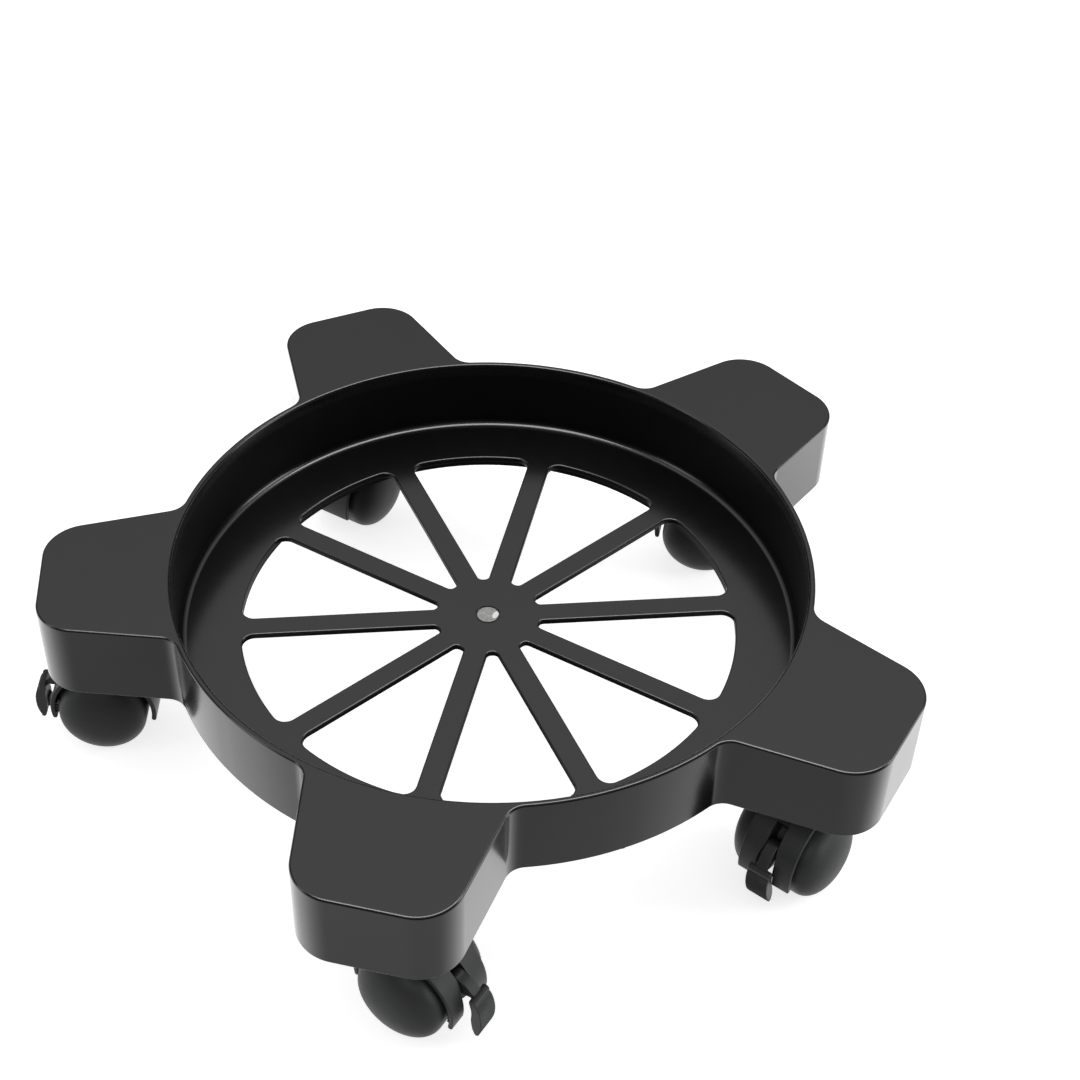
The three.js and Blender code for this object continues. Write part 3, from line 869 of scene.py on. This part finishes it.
def make_hood(brake):
    """Arched band over both wheels, a web between them, and the neck."""
    end, far = HOOD_END, 180 - HOOD_END
    inner_r = HOOD_R - HOOD_T
    mid_r, tip = (inner_r + HOOD_R) / 2, HOOD_T / 2

    def rounded_end(at, a0):
        x, y = mid_r * math.cos(rad(at)), mid_r * math.sin(rad(at))
        return arc(x, y, tip, a0, a0 + 180, 8)[1:-1]

    band = arc(0, 0, HOOD_R, end, far, 96) + rounded_end(far, far)
    band += arc(0, 0, inner_r, far, end, 96) + rounded_end(end, end - 180)
    hood = bar(band, HOOD_HALF, 0.5)
    web = arc(0, 0, inner_r + 0.8, end + 4, far - 4, 60) + [(-6.2, -2.8)]
    web += arc(0, 0, 5.6, 208, 332, 16) + [(6.2, -2.8)]  # round the axle
    hood = fuse(hood, bar(web, WEB_HALF, 0.35))
    hood = fuse(hood, make_neck())
    if brake:
        # short ribs inside the +X lip
        half = (HOOD_HALF - WEB_HALF - 1.4) / 2
        for a in (10, 5, 0, -5):
            rib = sector(inner_r - 1.0, inner_r + 0.4, a - 1.1, a + 1.1, 2)
            for s in (-1, 1):
                hood = fuse(hood, bar(rib, half, 0.15, mid=s * (HOOD_HALF + WEB_HALF) / 2))
    # bores for the stem and the axle
    hood = cut(hood, cylinder(2.9, AXLE_Z + 5, AXLE_Z + NECK_TOP + 2, 36))
    hood = cut(hood, bar(circle(0, 0, AXLE_BORE, 48), 20))
    if brake:
        return cut_lever_slot(hood, inner_r)
    gap = sector(SLOT_R, inner_r - 0.4, SLOT_TOP - 8, SLOT_LOW, 30)
    return cut(hood, bar(gap, WEB_HALF + 1))


# lever outlines, (along +X, up) from the axle
LEVER_TOP = [
    (29.4, 2.0), (29.0, 6.0), (28.2, 7.8), (26.6, 8.6), (24.4, 10.6), (21.8, 12.4),
    (19.6, 13.3), (18.4, 14.0)]
LEVER_ROOT = [
    (17.6, 14.15), (15.8, 13.6), (14.0, 12.0), (13.0, 9.6), (14.2, 7.4), (17.6, 6.4),
    (22.8, 6.2), (25.2, 6.4), (26.4, 4.2), (27.2, 1.0)]
PAD_OUTER = [(30.3, 5.2), (31.3, 2.4), (31.9, -1.2), (31.9, -5.0), (31.4, -8.2), (30.7, -10.4)]
PAD_HEAD = [
    (26.2, 8.3), (27.2, 8.55), (28.2, 8.4), (28.9, 7.9), (29.1, 7.2), (29.15, 6.2),
    (29.5, 5.75), (30.0, 5.55)]
PAD_TIP = [(30.5, -11.2), (29.9, -11.8), (29.2, -11.9), (28.6, -11.4), (28.2, -10.5)]
PAD_INNER = [
    (27.6, -9.0), (27.1, -6.0), (26.9, -3.0), (27.1, 0.0), (26.9, 3.0), (26.3, 5.4),
    (26.0, 7.2)]
PAD_LUMP = [
    (28.6, -1.4), (27.3, -1.6), (26.1, -2.4), (25.6, -4.2), (25.8, -6.2), (26.7, -7.8),
    (28.4, -8.2)]
TEETH = 15
TOOTH_DEPTH = 0.42


def make_lever(tilt):
    """Brake lever: an arm out of the slot and a crescent pad, its outer face toothed."""
    lever = bar(smooth(LEVER_TOP) + smooth(LEVER_ROOT), LEVER_HALF, 0.3)
    teeth = []
    for i, (x, y, dx, dy) in enumerate(spaced(smooth(PAD_OUTER, 12), 2 * TEETH)):
        depth = 0.0 if i % 2 else TOOTH_DEPTH
        teeth.append((x + dy * depth, y - dx * depth))
    pad = PAD_HEAD + teeth + PAD_TIP + smooth(PAD_INNER)
    lever = fuse(lever, bar(pad, PAD_HALF, 0.35))
    lever = fuse(lever, bar(PAD_LUMP, LEVER_HALF, 0.3))
    lever = cut(lever, bar(circle(*PIVOT, PIN_BORE, 24), 20))
    if tilt:
        rotate(lever, tilt, "Y", PIVOT_AT)
    return lever


def make_stem():
    """Stem with a collar on the neck and a groove for the grip ring near its top."""
    z = AXLE_Z + NECK_TOP
    return lathe([
        (0, AXLE_Z + 6), (2.1, AXLE_Z + 6), (2.5, AXLE_Z + 6.4), (2.5, z + 0.3),
        (COLLAR_R - 0.25, z + 0.3), (COLLAR_R, z + 0.55), (COLLAR_R, z + 1.45),
        (COLLAR_R - 0.25, z + 1.7), (STEM_R + 0.35, z + 1.7), (STEM_R + 0.1, z + 1.8),
        (STEM_R, z + 2.05), (STEM_R, 76.8), (STEM_R - 0.2, 77), (STEM_GROOVE_R, 77),
        (STEM_GROOVE_R, 79.6), (STEM_R - 0.2, 79.6), (STEM_R, 79.8), (STEM_R, 82.2),
        (STEM_R - 0.25, 82.9), (3.1, 83.45), (2.5, 83.6), (0, 83.6),
    ], 64)


def make_ring():
    """Split ring, open towards +X."""
    return slab(sector(3.45, 4.3, 20, 340, 60), 77.4, 79.2, 0.25)


made = {}


def copy_of(build, args):
    """A copy of a piece that is built once for all casters."""
    key = (build, args)
    if key not in made:
        piece = build(*args)
        made[key] = piece.data
        bpy.data.objects.remove(piece)
    return add_object("piece", made[key].copy())


caster_pieces = []
for name, arm, heading, brake in CASTERS:
    caster = f"{name}_caster"
    rows = [  # part, builder, its arguments, body it rides, slot
        ("stem", make_stem, (), "platform", "steel"),
        ("grip_ring", make_ring, (), "platform", "steel"),
        ("hood", make_hood, (brake,), caster, "caster_body"),
        ("axle", make_axle, (), caster, "steel"),
        ("wheel_a", make_wheel, (1,), f"{name}_wheel_a", "wheel"),
        ("wheel_b", make_wheel, (-1,), f"{name}_wheel_b", "wheel"),
    ]
    if brake:
        tilt = PRESSED if name == "right" else 0.0
        rows += [
            ("brake_lever", make_lever, (tilt,), f"{name}_lever", "caster_body"),
            ("lever_pin", make_pin, (), caster, "steel"),
        ]
    at = (STEM_AT * math.cos(rad(arm)), STEM_AT * math.sin(rad(arm)), 0)
    to_arm = Matrix.Translation(at) @ Matrix.Rotation(rad(heading), 4, "Z")
    for part, build, args, body, slot in rows:
        ob = copy_of(build, args)
        ob.data.transform(to_arm)
        caster_pieces.append(dress(ob, f"{name}_{part}_piece", f"{name}_{part}", body, slot))
for me in made.values():
    bpy.data.meshes.remove(me)


def cad_slot(name):
    if name == "platform":
        return "platform"
    if "wheel" in name:
        return "wheel"
    return "steel" if name.endswith(("stem", "ring", "axle", "pin")) else "caster_body"


# the CAD nodes stay underneath, with the same finishes
for name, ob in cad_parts.items():
    for material_slot in ob.material_slots:
        material_slot.link = "OBJECT"
        material_slot.material = FINISH[cad_slot(name)]

# ---------------------------------------------------------------- floor, light, camera, in metres
GROUND = -SEAT_Z * MM
FLOOR_HALF = 7.0
FLOOR_GLOW = 0.9  # what the dark plastic mirrors
FLOOR_SEEN = 0.74  # what the camera sees


def floor_material():
    material, sh, bsdf = new_material("pale_floor")
    seen = sh.camera_ray()
    x, y, _ = sh.split(sh.coords())
    r = sh.length(x, y)
    # painted shadow: hardly any glow under the object; around it a painted pool of glow, brighter
    # from 0.22 m out and fading far off; more glow for rays that head to the back
    to_x, to_y, _ = sh.split(sh.geometry("Incoming"))
    flat = sh.math("MAXIMUM", sh.length(to_x, to_y), 0.001)
    back = sh.math("DIVIDE", sh.times(to_y, -1.0), flat)
    glow_with_painted_shadow = sh.times(sh.ramp(r, start=0.085, end=0.12, low=0.03, high=FLOOR_GLOW),
                    sh.ramp(r, start=0.55, end=1.4, low=1.0, high=0.25))
    glow_with_painted_shadow = sh.times(glow_with_painted_shadow, sh.ramp(r, start=0.22, end=0.28, low=1.0, high=1.3))
    glow_with_painted_shadow = sh.times(glow_with_painted_shadow, sh.ramp(back, start=-0.7, end=0.1, low=0.68, high=1.58))
    sh.feed(bsdf, {
        "Roughness": 0.9,
        "Specular IOR Level": 0.0,
        "Emission Color": grey(1),
        "Emission Strength": sh.mix_value(seen, glow_with_painted_shadow, FLOOR_SEEN),
        "Base Color": sh.mix_colour(seen, grey(0.1), grey(0.80)),
    })
    return material


def make_floor():
    corners = ((-1, -1), (1, -1), (1, 1), (-1, 1))
    me = bpy.data.meshes.new("studio_floor")
    me.from_pydata([(x * FLOOR_HALF, y * FLOOR_HALF, GROUND) for x, y in corners],
                   [], [(0, 1, 2, 3)])
    ob = add_object("studio_floor", me)
    me.materials.append(floor_material())


def softbox(name, at, size, power):
    """Rectangular light aimed at the origin."""
    data = bpy.data.lights.new(name, "AREA")
    data.shape = "RECTANGLE"
    data.size, data.size_y = size
    data.energy = power
    ob = add_object(name, data)
    ob.location = at
    ob.rotation_mode = "QUATERNION"
    ob.rotation_quaternion = (-Vector(at)).to_track_quat("-Z", "Y")
    return ob


def make_lights():
    # only the platform mirrors this long box: a bright line on every rolled edge
    strip = softbox("strip", at=(0.06, -0.14, 1.5), size=(2.0, 0.62), power=36.0)
    strip.visible_diffuse = False
    mirrors = bpy.data.collections.new("mirrors_strip")
    mirrors.objects.link(platform)
    strip.light_linking.receiver_collection = mirrors
    # weak fills for all but the back casters, which sit in the platform's shade
    low = bpy.data.collections.new("lit_from_low")
    for ob in caster_pieces:
        if not ob.name.startswith("back"):
            low.objects.link(ob)
    fills = (
        softbox("fill_right", at=(1.1, -1.0, 0.5), size=(0.7, 0.7), power=11.0),
        softbox("fill_front", at=(-0.5, -1.2, 1.1), size=(0.7, 0.7), power=6.5),
    )
    for fill in fills:
        fill.light_linking.receiver_collection = low
    softbox("right", at=(1.35, -0.15, 0.45), size=(0.5, 1.0), power=7.0)
    softbox("left", at=(-1.4, -0.3, 0.5), size=(0.4, 1.0), power=3.0)


SKY_STRENGTH = 1.4
SKY_STOPS = (  # direction's Z, brightness
    (0.0, 0.04), (0.20, 0.08), (0.45, 0.35), (0.60, 0.72),
    (0.67, 0.95), (0.73, 1.10), (0.79, 1.22), (1.0, 1.30),
)


def make_world():
    """Soft dome, bright above and dim at the horizon; the camera sees plain pale grey."""
    world = bpy.data.worlds.new("studio")
    bpy.context.scene.world = world
    world.use_nodes = True
    sh = Shader(world.node_tree)
    _, y, z = sh.split(sh.add("ShaderNodeTexCoord").outputs["Generated"])
    sky = sh.add("ShaderNodeValToRGB", {0: z})
    stops = sky.color_ramp.elements
    for i, (position, value) in enumerate(SKY_STOPS):
        stop = stops[i] if i < 2 else stops.new(position)
        stop.position = position
        stop.color = grey(value / SKY_STRENGTH)
    # the side behind the camera is dimmer
    turn = sh.ramp(y, start=-0.30, end=0.15, low=0.42, high=1.0)
    dimmed = sh.mix_colour(1.0, sky.outputs[0], turn, blend="MULTIPLY")
    colour = sh.mix_colour(sh.camera_ray(), dimmed, grey(0.76))
    background = world.node_tree.nodes.get("Background")
    sh.feed(background, {"Color": colour, "Strength": SKY_STRENGTH})


# camera axes and place
CAMERA_RIGHT = (0.997829, -0.065736, -0.00465)
CAMERA_UP = (0.047206, 0.663737, 0.74647)
CAMERA_BACK = (-0.045986, -0.745066, 0.66540)
CAMERA_AT = (-0.05285, -0.59378, 0.58353)


def make_camera():
    data = bpy.data.cameras.new("camera")
    camera = add_object("camera", data)
    data.sensor_width = 36.0
    data.lens = 63.48
    data.shift_x = 0.08301
    data.shift_y = -0.013585
    data.clip_start = 0.01
    data.clip_end = 50.0
    camera.matrix_world = Matrix((
        (*CAMERA_RIGHT, 0), (*CAMERA_UP, 0), (*CAMERA_BACK, 0), (*CAMERA_AT, 1))).transposed()
    bpy.context.scene.camera = camera


make_floor()
make_lights()
make_world()
make_camera()
bpy.context.scene.view_settings.view_transform = "Standard"
bpy.context.scene.view_settings.look = "None"
